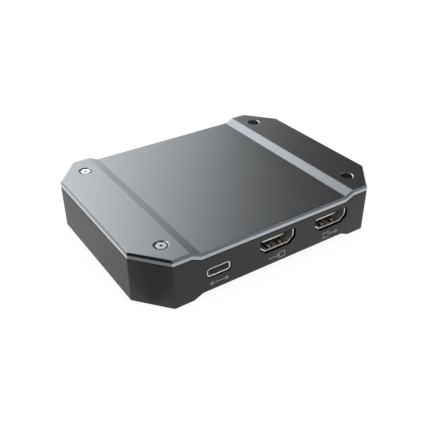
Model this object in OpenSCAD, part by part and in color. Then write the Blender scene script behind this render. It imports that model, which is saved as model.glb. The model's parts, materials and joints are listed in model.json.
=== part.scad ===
// Video capture box.
// A dished metal cover is screwed down on a moulded housing that stands on rubber feet.
// The board inside carries a data socket and two video sockets at the front, and two
// audio sockets at the back. Millimetres, +Z up, front towards -Y, and the origin on the
// table under the middle of the case.

/* [Case] */
// Length of the case, along its front
case_l = 102; // [98:1:120]
// Depth of the case, from front to back
case_w = 77.6; // [74:0.2:90]
// Height of the case, without its rubber feet
case_h = 19; // [18:0.1:24]
// Cut of each corner, along the length
corner_x = 9.7; // [8:0.1:11]
// Cut of each corner, along the depth
corner_y = 11.8; // [10:0.1:13]
// Radius of the upright edges
corner_r = 1; // [0.8:0.1:1.6]

/* [Housing] */
// Thickness of the housing's walls
wall = 2; // [1.6:0.1:2.4]
// Thickness of the housing's floor
floor_t = 1.8; // [1.5:0.1:2.2]
// Radius of the upright edges inside the housing
cavity_r = 1; // [0.5:0.1:2]
// Width of the low runner at each end of the underside
runner_w = 17; // [15:0.5:19]
// Rise of the underside between the runners
runner_h = 1.6; // [1:0.1:2]
// Length of the slope between a runner and the raised middle
runner_slope = 3.5; // [2:0.1:5]
// Height of the groove under the cover's edge
seam_h = 0.3; // [0.2:0.05:0.5]
// Depth of that groove
seam_in = 0.4; // [0.2:0.05:0.6]
// Diameter of the posts that take the cover screws
post_d = 6.8; // [6:0.1:7.4]
// Thickness of the gussets between the posts and the walls
gusset_t = 1.2; // [0.8:0.1:1.6]
// Drop of the gussets below the posts' tops
gusset_drop = 2; // [1:0.1:4]

/* [Cover] */
// Thickness of the cover
cover_t = 2.1; // [1.8:0.1:2.6]
// Width of the high band at each end of the cover
band_w = 16.6; // [15:0.1:19]
// Drop of the cover's middle below the bands
band_h = 1.6; // [1:0.1:2]
// Length of the slope between a band and the middle
band_slope = 3.45; // [2:0.05:5]
// Width of the chamfer round the cover's top
edge_in = 0.6; // [0.4:0.05:1]
// Height of that chamfer
edge_drop = 0.85; // [0.4:0.05:1]
// Radius of the corners inside that chamfer
edge_r = 0.4; // [0.2:0.1:0.8]
// Thickness of the lip that locates the cover in the housing
lip_t = 1; // [0.8:0.1:1.4]
// Height of that lip
lip_h = 1.4; // [1:0.1:2]
// Clearance between the lip and the housing
lip_gap = 0.2; // [0.1:0.05:0.3]
// Height of the pads under the cover that sit on the posts
pad_h = 1.2; // [0.8:0.1:2]

/* [Cover screws] */
// Distance of the screws from the case's ends
screw_in_x = 11.1; // [10:0.1:13]
// Distance of the screws from the case's front and back
screw_in_y = 9.6; // [9:0.1:12]
// Diameter of the counterbores
bore_d = 4.6; // [4.5:0.1:5.6]
// Bevel at the mouth of the counterbores
bore_bevel = 0.2; // [0.1:0.05:0.4]
// Width of the hexagon heads across their flats
hex_af = 3.5; // [3:0.1:3.7]
// Height of the hexagon heads
hex_h = 1.3; // [1:0.1:1.8]
// Bevel round the top of the hexagon heads
hex_bevel = 0.12; // [0.05:0.01:0.3]
// Depth of the heads below the cover's top
hex_sink = 0.2; // [0.1:0.05:0.5]
// Diameter of the dimple in each head
dimple_d = 0.8; // [0.4:0.1:1.2]
// Diameter of the cover screws' shanks
shank_d = 2.5; // [2:0.1:3]
// Length of those shanks under the head
shank_l = 6; // [5:0.1:7]
// Clearance round the shanks in the cover
shank_gap = 0.2; // [0.1:0.05:0.4]
// Clearance between the shanks and the inserts
thread_gap = 0.05; // [0.02:0.01:0.1]
// Outer diameter of the threaded inserts
insert_d = 4; // [3.6:0.1:4.4]
// Length of the threaded inserts
insert_l = 5; // [4:0.1:6]

/* [Feet] */
// Diameter of the rubber feet
foot_d = 9; // [7:0.5:11]
// Height of the feet below the housing
foot_proud = 0.6; // [0.4:0.1:1.2]
// Depth of the pockets that hold the feet
foot_pocket = 0.8; // [0.5:0.1:1]
// Clearance round the feet in their pockets
foot_gap = 0.1; // [0.05:0.05:0.2]
// Distance of the feet from the case's ends
foot_in_x = 10; // [8:0.1:11]
// Distance of the feet from the case's front and back
foot_in_y = 15; // [14:0.5:20]

/* [Board] */
// Height of the board's top above the housing's underside
board_z = 7.05; // [6.8:0.05:8.2]
// Thickness of the board
board_t = 1.6; // [1.2:0.1:2]
// Clearance round the board
board_gap = 0.4; // [0.3:0.05:0.6]
// Distance of the board screws from the case's ends
hold_in_x = 8; // [7:0.1:10]
// Distance of the board screws from the middle, along the depth
hold_y = 17; // [14:0.5:19]
// Diameter of the standoffs under the board
standoff_d = 5; // [4.4:0.1:6]
// Diameter of the board screws
hold_d = 2; // [1.6:0.1:2.5]
// Length of the board screws under the head
hold_l = 5; // [4:0.1:5.5]
// Diameter of the board screws' heads
hold_head_d = 3.8; // [3.4:0.1:4.4]
// Height of those heads
hold_head_h = 1.3; // [1:0.1:1.6]
// Clearance round the board screws
hold_gap = 0.1; // [0.05:0.05:0.2]

/* [Front openings] */
// Clearance between the front sockets and the housing
port_gap = 0.35; // [0.2:0.05:0.5]
// Thickness of the housing's wall at the edges of the openings
port_land = 0.25; // [0.2:0.05:1]
// Widening of the openings behind those edges
port_relief = 0.5; // [0.3:0.05:0.7]

/* [Video sockets] */
// Distance of the video input from the case's middle, along its front
vid_in_x = 0.1; // [-1:0.1:1]
// Distance of the video output from the case's right end
vid_out_in_x = 26.5; // [26:0.1:29]
// Setback of the video sockets behind the front
vid_setback = 0.9; // [0.4:0.1:1.2]
// Height of the video sockets' shells above the board
vid_stand = 0.35; // [0.2:0.05:0.5]
// Width of a video socket's mouth
vid_w = 14; // [13.6:0.1:14.4]
// Height of its mouth
vid_h = 4.55; // [4.4:0.05:4.8]
// Cut of its lower corners, along the width
vid_cut_x = 2.1; // [1.6:0.1:2.4]
// Cut of its lower corners, along the height
vid_cut_z = 1.8; // [1.4:0.1:2.2]
// Radius of the corners inside its mouth
vid_r = 0.15; // [0.1:0.05:0.5]
// Thickness of its metal shell
vid_t = 0.35; // [0.3:0.05:0.4]
// Length of its shell
vid_l = 11.2; // [10:0.1:12]
// Width of its tongue
vid_tongue_w = 9.6; // [9.5:0.1:10.6]
// Thickness of its tongue
vid_tongue_t = 1; // [0.8:0.1:1.2]
// Height of the tongue above the mouth's floor
vid_tongue_z = 2.1; // [1.8:0.1:2.3]
// Setback of the tongue behind the lip
vid_tongue_in = 2; // [1.5:0.1:2.5]
// Length of the block that carries the tongue
vid_block_l = 3.6; // [3:0.1:4]
// Number of contacts in its upper row
vid_top_pins = 10; // [8:1:10]
// Number of contacts in its lower row
vid_low_pins = 9; // [7:1:9]
// Pitch of the contacts in one row
vid_pin_pitch = 1; // [0.9:0.02:1]
// Width of a contact
vid_pin_w = 0.35; // [0.25:0.05:0.4]
// Thickness of a contact
vid_pin_t = 0.15; // [0.1:0.01:0.2]

/* [Shell springs] */
// Distance of the springs from the socket's middle
spring_x = 2.4; // [2:0.1:3]
// Width of a spring
spring_w = 1.3; // [1:0.1:1.6]
// Width of the slot round a spring
spring_slot = 0.55; // [0.2:0.05:0.6]
// Length of a spring
spring_l = 4.6; // [4:0.1:5]
// Setback of the floor springs' tips behind the lip
spring_in = 0.95; // [0.7:0.05:1.3]
// Setback of the roof springs' tips behind the lip
roof_spring_in = 2.1; // [1.8:0.1:2.4]
// Rise of a spring's crest into the mouth
spring_rise = 0.4; // [0.2:0.05:0.5]
// Run from a spring's tip to its crest
spring_crest = 0.5; // [0.3:0.05:0.7]

/* [Data socket] */
// Distance of the data socket from the case's left end
data_in_x = 26.8; // [26:0.1:29]
// Setback of the data socket behind the front
data_setback = 0.5; // [0.2:0.05:0.8]
// Width of the data socket's mouth
data_w = 8.34; // [8:0.02:8.6]
// Height of its mouth
data_h = 2.56; // [2.4:0.02:2.8]
// Radius of the corners inside its mouth
data_r = 0.8; // [0.3:0.05:1.15]
// Thickness of its metal shell
data_t = 0.3; // [0.2:0.05:0.35]
// Length of its shell
data_l = 7.3; // [6.8:0.1:8]
// Width of its tongue
data_tongue_w = 6.7; // [6.4:0.1:7]
// Thickness of its tongue
data_tongue_t = 0.7; // [0.6:0.05:0.8]
// Setback of the tongue behind the lip
data_tongue_in = 0.9; // [0.6:0.1:1.4]
// Length of the block that carries the tongue
data_block_l = 2.2; // [1.8:0.1:2.6]
// Number of contacts in one row
data_pins = 12; // [8:1:12]
// Pitch of the contacts in one row
data_pin_pitch = 0.5; // [0.45:0.01:0.52]
// Width of a contact
data_pin_w = 0.22; // [0.15:0.01:0.24]
// Thickness of a contact
data_pin_t = 0.1; // [0.08:0.01:0.12]

/* [Socket legs] */
// Width of the legs that hold the sockets to the board
leg_w = 1.4; // [1:0.1:1.8]
// Length of the legs below the board
leg_proud = 0.6; // [0.3:0.1:1]
// Clearance round the legs in the board
leg_gap = 0.2; // [0.1:0.05:0.3]
// Distance of the legs from the middle of a socket's length
leg_y = 2.2; // [1.8:0.1:2.4]
// Length of the contacts' feet on the board
pin_foot = 0.8; // [0.5:0.1:1.2]
// Setback of the contacts behind the front of a tongue
pin_in = 0.8; // [0.4:0.1:1.5]
// Clearance between a socket's moulded block and its shell
block_gap = 0.05; // [0.02:0.01:0.1]

/* [Audio sockets] */
// Distance between the audio sockets
jack_pitch = 20; // [16:0.5:30]
// Width of an audio socket's body
jack_w = 6.2; // [6:0.1:7]
// Height of its body
jack_h = 5; // [4.8:0.1:5.6]
// Length of its body
jack_l = 11.8; // [11:0.1:13]
// Diameter of its nose
jack_nose_d = 5; // [4.6:0.1:5.4]
// Diameter of its bore
jack_bore_d = 3.6; // [3.55:0.01:3.7]
// Clearance between its nose and the housing
jack_gap = 0.15; // [0.1:0.05:0.3]
// Thickness of its closed end
jack_end = 1; // [0.8:0.1:2]
// Number of spring contacts on each side
jack_springs = 2; // [1:1:3]
// Height of a spring contact
jack_spring_h = 4; // [3:0.1:4.6]
// Width of a spring contact
jack_spring_w = 1.6; // [1:0.1:2]
// Thickness of a spring contact
jack_spring_t = 0.25; // [0.2:0.05:0.35]

/* [Heat path] */
// Side of the processor's square package
chip_w = 17; // [14:0.5:19]
// Height of the processor's carrier
chip_base_h = 0.5; // [0.3:0.1:0.7]
// Height of the processor's moulded cap
chip_cap_h = 0.8; // [0.6:0.1:1.2]
// Inset of the cap from the carrier's edge
chip_cap_in = 1; // [0.5:0.1:2]
// Place of the processor along the depth
chip_y = 3; // [0:0.5:5]
// Side of the metal block between the processor and the cover
block_w = 20; // [18:0.5:22]
// Bevel of that block's edges
block_bevel = 0.6; // [0.3:0.1:1]
// Thickness of the soft pad under the block
chip_pad_t = 0.5; // [0.3:0.1:0.8]
// Thickness of the soft pad over the block
cover_pad_t = 0.8; // [0.5:0.1:1.2]

/* [Hidden] */
// Steps in a rounded corner, and the sides of a round piece
corner_steps = 6;
$fn = 48;
// Extra length of a cutting shape
over = 1;

// Levels above the table
base_z = foot_proud;
top_z = base_z + case_h;
seam_z = top_z - cover_t;
dish_z = seam_z - band_h;
floor_z = base_z + floor_t;
board_top = base_z + board_z;
post_z = seam_z - pad_h;
counterbore_z = top_z - hex_sink - hex_h;
chip_top = board_top + chip_base_h + chip_cap_h;
block_z = chip_top + chip_pad_t;
block_h = dish_z - cover_pad_t - block_z;

// Places on the plan
screw_x = case_l / 2 - screw_in_x;
screw_y = case_w / 2 - screw_in_y;
foot_x = case_l / 2 - foot_in_x;
foot_y = case_w / 2 - foot_in_y;
hold_x = case_l / 2 - hold_in_x;
board_x = case_l / 2 - wall - board_gap;
board_y = case_w / 2 - wall - board_gap;
notch_x = screw_x - post_d / 2 - board_gap;
notch_y = screw_y - post_d / 2 - board_gap;
front_y = -case_w / 2;
back_y = case_w / 2;
vid_out_x = case_l / 2 - vid_out_in_x;
data_x = data_in_x - case_l / 2;

// Sockets
vid_places = [vid_in_x, vid_out_x];
vid_z = board_top + vid_stand;
vid_out_h = vid_h + 2 * vid_t;
vid_block_y = vid_l - vid_block_l;
data_out_h = data_h + 2 * data_t;
data_block_y = data_l - data_block_l;
jack_z = board_top + jack_h / 2;
jack_face = back_y - wall - jack_gap;
jack_bore_l = back_y - jack_face + jack_l - jack_end;
hex_d = hex_af / cos(30);

// Parts behind the front sockets, in rows that keep their distance from the front
surge_size = [2.5, 1, 0.5];
surge_spread = 2;
surge_in = 1.5;
chip_in = 4;
vid_row_y = front_y + vid_setback + vid_l + pin_foot + surge_in;
data_row_y = front_y + data_setback + data_l + pin_foot + surge_in;
receiver_w = 9;
driver_w = 7;
port_chip_w = 5;

// Parts of the supply, beside the board screws
coil_in = 8;
regulator_in = 14;
coil_x = hold_x - coil_in;
regulator_x = hold_x - regulator_in;

// Small packages on the board, each as [x, y, width, length]
receiver_chip = [vid_in_x, vid_row_y + chip_in + receiver_w / 2, receiver_w, receiver_w];
driver_chip = [vid_out_x, vid_row_y + chip_in + driver_w / 2, driver_w, driver_w];
port_chip = [data_x, data_row_y + chip_in + port_chip_w / 2, port_chip_w, port_chip_w];
codec_chip = [0, 19.5, 5, 5];
memory_chips = [[18, -4, 8, 10], [18, 9, 8, 10]];
regulators = [[-regulator_x, -6, 3, 3], [-regulator_x, 4, 3, 3], [regulator_x, 18, 3, 3]];
qfn_h = 0.9;
memory_h = 1.1;
pad_row_w = 0.28;
pad_row_pitch = 0.65;
pad_row_h = 0.2;
inductors = [[-coil_x, -6], [-coil_x, 4], [coil_x, 18]];
inductor_w = 4.4;
inductor_h = 2.2;
inductor_r = 0.8;
bulk_caps = [[-24, -11], [-24, 14], [24, 22], [-regulator_x, 20]];
bulk_size = [3.5, 2.8, 1.9];
cap_tab = [0.9, 2.2, 1];
small_cap = [1.6, 0.8, 0.8];
small_cap_x = 12.2;
small_cap_rows = 7;
small_cap_pitch = 2;
firmware_at = [-18, 6];
firmware_size = [3.9, 4.9, 1.5];
firmware_leads = 4;
firmware_pitch = 1.27;
crystals = [[-11.5, -10.5], [11.5, -12]];
crystal_size = [3.2, 2.5, 0.5];
crystal_lid = [2.6, 1.9, 0.25];

// Plan of the case, moved inwards by a given amount: a rectangle with its corners cut
function plan_corners(inset) =
    let (
        x = case_l / 2 - inset,
        y = case_w / 2 - inset,
        cut = norm([corner_x, corner_y]),
        nx = corner_y / cut,
        ny = corner_x / cut,
        reach = nx * case_l / 2 + ny * (case_w / 2 - corner_y) - inset,
        x_cut = (reach - ny * y) / nx,
        y_cut = (reach - nx * x) / ny
    )
    [[x, -y_cut], [x, y_cut], [x_cut, y], [-x_cut, y],
     [-x, y_cut], [-x, -y_cut], [-x_cut, -y], [x_cut, -y]];

// A convex outline, counterclockwise, with each corner turned into an arc
function rounded(corners, r) =
    let (n = len(corners))
    [for (i = [0 : n - 1])
        let (
            into = corners[i] - corners[(i + n - 1) % n],
            out = corners[(i + 1) % n] - corners[i],
            along = into / norm(into),
            start = atan2(into.y, into.x) - 90,
            turn = (atan2(out.y, out.x) - atan2(into.y, into.x) + 720) % 360,
            middle = corners[i] - along * r * tan(turn / 2) + r * [-along.y, along.x]
        )
        for (k = [0 : corner_steps])
            let (a = start + turn * k / corner_steps)
            middle + r * [cos(a), sin(a)]];

function plan(inset, r) = rounded(plan_corners(inset), r);

// A line across the case with two end levels and a middle that lies higher by rise
function dish(end_w, slope, level, rise) =
    let (a = case_l / 2, b = a - end_w, c = b - slope)
    [[-a - over, level], [-b, level], [-c, level + rise],
     [c, level + rise], [b, level], [a + over, level]];

function reversed(points) = [for (i = [len(points) - 1 : -1 : 0]) points[i]];
function raised(points, h) = [for (p = points) p + [0, h]];
function between(low, high) = concat(low, reversed(high));

function cover_line(level) = dish(band_w, band_slope, level, -band_h);
function underside_line(level) = dish(runner_w, runner_slope, level, runner_h);

// A mouth of a video socket, grown outwards by a given amount
function video_mouth(grow) =
    let (
        a = vid_w / 2,
        b = a - vid_cut_x,
        edge = norm([vid_cut_x, vid_cut_z]),
        low_x = b + grow * (edge - vid_cut_x) / vid_cut_z,
        side_z = vid_cut_z - grow * (edge - vid_cut_z) / vid_cut_x,
        side_x = a + grow
    )
    rounded([[low_x, -grow], [side_x, side_z], [side_x, vid_h + grow],
             [-side_x, vid_h + grow], [-side_x, side_z], [-low_x, -grow]], vid_r + grow);

// The mouth of the data socket, round its middle, grown outwards by a given amount
function data_mouth(grow) =
    let (a = data_w / 2 + grow, b = data_h / 2 + grow)
    rounded([[a, -b], [a, b], [-a, b], [-a, -b]], data_r + grow);

// A bent lead: along a tongue, down behind its block and out on the board at a given level
function lead(y_start, y_bend, z_top, t, z_foot) =
    [[y_start, z_top], [y_start, z_top - t], [y_bend, z_top - t], [y_bend, z_foot],
     [y_bend + pin_foot, z_foot], [y_bend + pin_foot, z_foot + t],
     [y_bend + t, z_foot + t], [y_bend + t, z_top]];

// Solid between outlines that have as many points each, at rising levels
module loft(levels) {
    n = len(levels[0][1]);
    last = (len(levels) - 1) * n;
    bottom = [for (i = [0 : n - 1]) i];
    top = [for (i = [n - 1 : -1 : 0]) last + i];
    sides = [for (j = [0 : len(levels) - 2]) for (i = [0 : n - 1])
        let (k = (i + 1) % n)
        [j * n + i, (j + 1) * n + i, (j + 1) * n + k, j * n + k]];
    polyhedron(
        points = [for (level = levels) for (p = level[1]) [p.x, p.y, level[0]]],
        faces = concat([bottom, top], sides)
    );
}

// A profile drawn across the case and carried along its depth
module along_depth(profile) {
    rotate([90, 0, 0])
        linear_extrude(height = case_w + 2 * over, center = true) polygon(profile);
}

// A shape seen from the front, carried inwards from y = 0
module inwards(length) {
    translate([0, length, 0]) rotate([90, 0, 0]) linear_extrude(height = length) children();
}

// A side profile of [y, z] points with a given width across x
module side_profile(points, width) {
    rotate([90, 0, 90]) linear_extrude(height = width, center = true) polygon(points);
}

module four(x, y) {
    for (sx = [-1, 1])
        for (sy = [-1, 1])
            translate([sx * x, sy * y, 0]) children();
}

module slab(inset, r, low, high) {
    translate([0, 0, low]) linear_extrude(height = high - low) polygon(plan(inset, r));
}

// Cut that carries the top chamfer along the front edge, down the slopes and over the middle
module front_edge_cut() {
    low = [for (i = [1 : 4]) cover_line(top_z)[i]];
    profile = between(low, [[low[0].x, top_z + over], [low[3].x, top_z + over]]);
    fall = edge_drop * (1 + over / edge_in);
    rotate([90, 0, 0])
        loft([[case_w / 2 - edge_in, profile], [case_w / 2 + over, raised(profile, -fall)]]);
}

// Plate of even thickness that is high at the ends and low in the middle, with a chamfer
module cover_plate() {
    difference() {
        intersection() {
            loft([
                [dish_z - over, plan(0, corner_r)],
                [top_z - edge_drop, plan(0, corner_r)],
                [top_z, plan(edge_in, edge_r)]
            ]);
            along_depth(between(cover_line(seam_z), cover_line(top_z)));
        }
        front_edge_cut();
        mirror([0, 1, 0]) front_edge_cut();
    }
}

// Rib that drops inside the housing's walls, with room left for the posts
module cover_lip() {
    lip_in = wall + lip_gap;
    difference() {
        intersection() {
            slab(lip_in, cavity_r, dish_z - lip_h, seam_z);
            along_depth(between(cover_line(seam_z - lip_h), cover_line(seam_z)));
        }
        slab(lip_in + lip_t, cavity_r, dish_z - lip_h - over, seam_z + over);
        four(screw_x, screw_y) cylinder(d = post_d + 2 * lip_gap, h = top_z);
    }
}

module top_cover() {
    color("#7c8184") difference() {
        union() {
            cover_plate();
            cover_lip();
            four(screw_x, screw_y) translate([0, 0, post_z]) cylinder(d = post_d, h = pad_h);
        }
        four(screw_x, screw_y) {
            cylinder(d = shank_d + 2 * shank_gap, h = top_z);
            translate([0, 0, counterbore_z]) cylinder(d = bore_d, h = top_z);
            translate([0, 0, top_z - bore_bevel])
                cylinder(d1 = bore_d, d2 = bore_d + 2 * (bore_bevel + over), h = bore_bevel + over);
        }
    }
}

// Outer form of the housing, from the dished underside up to the cover
module housing_block() {
    intersection() {
        slab(0, corner_r, base_z - over, top_z);
        along_depth(between(underside_line(base_z), cover_line(seam_z)));
    }
}

module housing_cavity() {
    intersection() {
        slab(wall, cavity_r, base_z, top_z + over);
        along_depth(between(underside_line(floor_z), cover_line(top_z + 2 * over)));
    }
}

// Posts for the cover screws with their gussets, and standoffs for the board
module housing_posts() {
    post_h = post_z - floor_z + floor_t / 2;
    standoff_h = board_top - board_t - floor_z + floor_t / 2;
    four(screw_x, screw_y) translate([0, 0, floor_z - floor_t / 2]) cylinder(d = post_d, h = post_h);
    four(hold_x, hold_y) translate([0, 0, floor_z - floor_t / 2]) cylinder(d = standoff_d, h = standoff_h);
    for (sx = [0, 1])
        for (sy = [0, 1])
            mirror([sx, 0, 0]) mirror([0, sy, 0])
                translate([screw_x, screw_y, floor_z - floor_t / 2]) {
                    translate([0, -gusset_t / 2, 0]) cube([screw_in_x, gusset_t, post_h - gusset_drop]);
                    translate([-gusset_t / 2, 0, 0]) cube([gusset_t, screw_in_y, post_h - gusset_drop]);
                }
}

// Groove round the rim that shows as a dark line under the cover's edge
module seam_groove() {
    difference() {
        intersection() {
            slab(-over, corner_r, dish_z - over, top_z);
            along_depth(between(cover_line(seam_z - seam_h), cover_line(seam_z + over)));
        }
        slab(seam_in, corner_r, base_z, top_z + over);
    }
}

// Openings of the three front sockets, at a given depth and clearance
module front_cuts(y, gap) {
    depth = wall + 2 * over;
    for (x = vid_places)
        translate([x, y, vid_z + vid_t]) inwards(depth) polygon(video_mouth(vid_t + gap));
    translate([data_x, y, board_top + data_out_h / 2]) inwards(depth) polygon(data_mouth(data_t + gap));
}

// Openings of all the sockets, those in front relieved behind a thin edge
module port_cuts() {
    depth = wall + 2 * over;
    front_cuts(front_y - over, port_gap);
    front_cuts(front_y + port_land, port_gap + port_relief);
    for (side = [-1, 1])
        translate([side * jack_pitch / 2, back_y - wall - over, jack_z])
            rotate([-90, 0, 0]) cylinder(d = jack_nose_d + 2 * jack_gap, h = depth);
}

module base_housing() {
    color("#4a4a4b") difference() {
        union() {
            difference() {
                housing_block();
                housing_cavity();
            }
            intersection() {
                housing_block();
                housing_posts();
            }
        }
        seam_groove();
        port_cuts();
        four(screw_x, screw_y) {
            translate([0, 0, post_z - insert_l]) cylinder(d = insert_d, h = insert_l + over);
            translate([0, 0, floor_z]) cylinder(d = shank_d + 2 * shank_gap, h = post_z - floor_z);
        }
        four(hold_x, hold_y)
            translate([0, 0, floor_z - floor_t / 4]) cylinder(d = hold_d + 2 * hold_gap, h = board_top);
        four(foot_x, foot_y)
            translate([0, 0, base_z - over]) cylinder(d = foot_d + 2 * foot_gap, h = foot_pocket + over);
    }
}

// Screw with a hexagon head that has a bevelled rim and a dimple
module cover_screw() {
    difference() {
        union() {
            intersection() {
                cylinder(d = hex_d, h = hex_h, $fn = 6);
                cylinder(d1 = hex_af + 2 * (hex_h + hex_bevel), d2 = hex_d - 2 * hex_bevel, h = hex_h);
            }
            translate([0, 0, -shank_l]) cylinder(d = shank_d, h = shank_l + hex_h / 2);
        }
        translate([0, 0, hex_h - dimple_d / 2])
            cylinder(d1 = 0, d2 = dimple_d + 2 * over, h = dimple_d / 2 + over);
    }
}

module cover_screws() {
    color("#b9bcbe") four(screw_x, screw_y)
        translate([0, 0, counterbore_z]) rotate([0, 0, 30]) cover_screw();
}

module screw_inserts() {
    color("#b8924a") four(screw_x, screw_y) translate([0, 0, post_z - insert_l])
        difference() {
            cylinder(d = insert_d, h = insert_l);
            translate([0, 0, -over]) cylinder(d = shank_d + 2 * thread_gap, h = insert_l + 2 * over);
        }
}

module rubber_feet() {
    rim = foot_proud / 3;
    color("#1d1d1e") four(foot_x, foot_y) rotate_extrude()
        polygon([[0, 0], [foot_d / 2 - rim, 0], [foot_d / 2, rim],
                 [foot_d / 2, foot_proud + foot_pocket], [0, foot_proud + foot_pocket]]);
}

// Slots in the board for a socket's legs
module leg_slots(x_in, t, length) {
    slot = [t + 2 * leg_gap, leg_w + 2 * leg_gap, board_t + 2 * over];
    for (sx = [-1, 1])
        for (sy = [-1, 1])
            translate([sx * (x_in + t / 2), length / 2 + sy * leg_y, -board_t / 2]) cube(slot, center = true);
}

module main_board() {
    color("#17331f") difference() {
        translate([0, 0, board_top - board_t]) linear_extrude(height = board_t) union() {
            square([2 * board_x, 2 * notch_y], center = true);
            square([2 * notch_x, 2 * board_y], center = true);
        }
        four(hold_x, hold_y) cylinder(d = hold_d + 2 * hold_gap, h = top_z);
        for (x = vid_places) at_front(x, vid_setback, board_top) leg_slots(vid_w / 2, vid_t, vid_l);
        at_front(data_x, data_setback, board_top) leg_slots(data_w / 2, data_t, data_l);
    }
}

// Pan-head screw with a cross recess
module board_screw() {
    recess = hold_head_d / 2;
    difference() {
        union() {
            intersection() {
                cylinder(d = hold_head_d, h = hold_head_h);
                translate([0, 0, hold_head_h - hold_head_d]) sphere(r = hold_head_d);
            }
            translate([0, 0, -hold_l]) cylinder(d = hold_d, h = hold_l + hold_head_h / 2);
        }
        for (a = [0, 90])
            rotate([0, 0, a]) translate([0, 0, hold_head_h])
                cube([recess, recess / 4, hold_head_h], center = true);
    }
}

module board_screws() {
    color("#8f9294") four(hold_x, hold_y) translate([0, 0, board_top]) board_screw();
}

module at_front(x, setback, z) {
    translate([x, front_y + setback, z]) children();
}

// Legs that run from a shell's sides down through the board, which lies lower by stand
module shell_legs(x_in, t, length, h, stand) {
    drop = stand + board_t + leg_proud;
    for (sx = [-1, 1])
        for (sy = [-1, 1])
            translate([sx * (x_in + t / 2), length / 2 + sy * leg_y, (h - drop) / 2])
                cube([t, leg_w, h + drop], center = true);
}

// Spring cut from the sheet, with its tip at y = 0: it rises to a crest and dips at the tip
module shell_spring() {
    path = [[0, spring_rise / 2], [spring_crest, spring_rise], [2 * spring_crest, spring_rise],
            [spring_l / 2, 0], [spring_l + spring_slot, 0]];
    side_profile(between(path, raised(path, vid_t)), spring_w);
}

module spring_window() {
    width = spring_w + 2 * spring_slot;
    translate([-width / 2, -spring_slot, -vid_t]) cube([width, spring_l + spring_slot, 3 * vid_t]);
}

// Places of the two springs in the floor and the two in the roof
module at_springs() {
    for (side = [-1, 1])
        translate([side * spring_x, 0, 0]) {
            translate([0, spring_in, 0]) children();
            translate([0, roof_spring_in, vid_out_h]) mirror([0, 0, 1]) children();
        }
}

// Folded steel shell with its mouth at y = 0, which stands on its legs
module video_shell() {
    color("#bdbab4") union() {
        difference() {
            translate([0, 0, vid_t]) inwards(vid_l) difference() {
                polygon(video_mouth(vid_t));
                polygon(video_mouth(0));
            }
            at_springs() spring_window();
        }
        at_springs() shell_spring();
        shell_legs(vid_w / 2, vid_t, vid_l, vid_t + vid_h / 2, vid_stand);
    }
}

// Places of the contacts in one row, as distances from the socket's middle
function row(count, pitch) = [for (i = [0 : count - 1]) (i - (count - 1) / 2) * pitch];

// Moulded block that fills the back of the shell, with the tongue in front of it
module video_tongue() {
    tongue_z = vid_t + vid_tongue_z;
    color("#262322") difference() {
        union() {
            translate([0, vid_block_y, vid_t]) inwards(vid_block_l) polygon(video_mouth(-block_gap));
            translate([-vid_tongue_w / 2, vid_tongue_in, tongue_z])
                cube([vid_tongue_w, vid_block_y, vid_tongue_t]);
        }
        video_pins(vid_block_y - over);
    }
}

// The upper and lower rows of bent contacts, from a given setback
module video_pins(y_start) {
    low_z = vid_t + vid_tongue_z;
    for (x = row(vid_top_pins, vid_pin_pitch))
        translate([x, 0, 0])
            side_profile(
                lead(y_start, vid_l, low_z + vid_tongue_t + vid_pin_t, vid_pin_t, -vid_stand), vid_pin_w);
    for (x = row(vid_low_pins, vid_pin_pitch))
        translate([x, 0, 0])
            side_profile(lead(y_start, vid_l, low_z, vid_pin_t, -vid_stand), vid_pin_w);
}

module video_contacts() {
    color("#c9a24d") video_pins(vid_tongue_in + pin_in);
}

module video_in_shell() { at_front(vid_in_x, vid_setback, vid_z) video_shell(); }
module video_in_tongue() { at_front(vid_in_x, vid_setback, vid_z) video_tongue(); }
module video_in_contacts() { at_front(vid_in_x, vid_setback, vid_z) video_contacts(); }
module video_out_shell() { at_front(vid_out_x, vid_setback, vid_z) video_shell(); }
module video_out_tongue() { at_front(vid_out_x, vid_setback, vid_z) video_tongue(); }
module video_out_contacts() { at_front(vid_out_x, vid_setback, vid_z) video_contacts(); }

module data_port_shell() {
    color("#c4c1bb") at_front(data_x, data_setback, board_top) union() {
        translate([0, 0, data_out_h / 2]) inwards(data_l) difference() {
            polygon(data_mouth(data_t));
            polygon(data_mouth(0));
        }
        shell_legs(data_w / 2, data_t, data_l, data_out_h / 2, 0);
    }
}

module data_port_tongue() {
    color("#242222") at_front(data_x, data_setback, board_top) difference() {
        translate([0, 0, data_out_h / 2]) union() {
            translate([0, data_block_y, 0]) inwards(data_block_l) polygon(data_mouth(-block_gap));
            translate([-data_tongue_w / 2, data_tongue_in, -data_tongue_t / 2])
                cube([data_tongue_w, data_block_y, data_tongue_t]);
        }
        data_pin_rows(data_block_y - over);
    }
}

// Contacts on both faces of the tongue, the lower row half a pitch aside of the upper
module data_pin_rows(y_start) {
    mid_z = data_out_h / 2;
    for (x = row(data_pins, data_pin_pitch)) {
        translate([x - data_pin_pitch / 4, 0, 0])
            side_profile(
                lead(y_start, data_l, mid_z + data_tongue_t / 2 + data_pin_t, data_pin_t, 0), data_pin_w);
        translate([x + data_pin_pitch / 4, 0, 0])
            side_profile(lead(y_start, data_l, mid_z - data_tongue_t / 2, data_pin_t, 0), data_pin_w);
    }
}

module data_port_contacts() {
    color("#c9a24d") at_front(data_x, data_setback, board_top) data_pin_rows(data_tongue_in + pin_in);
}

// Audio socket, with its nose in the back wall and its body on the board
module audio_socket() {
    difference() {
        union() {
            translate([-jack_w / 2, jack_face - jack_l, board_top]) cube([jack_w, jack_l, jack_h]);
            translate([0, jack_face - over, jack_z]) rotate([-90, 0, 0])
                cylinder(d = jack_nose_d, h = back_y - jack_face + over);
        }
        translate([0, back_y - jack_bore_l, jack_z]) rotate([-90, 0, 0])
            cylinder(d = jack_bore_d, h = jack_bore_l + over);
    }
}

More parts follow.
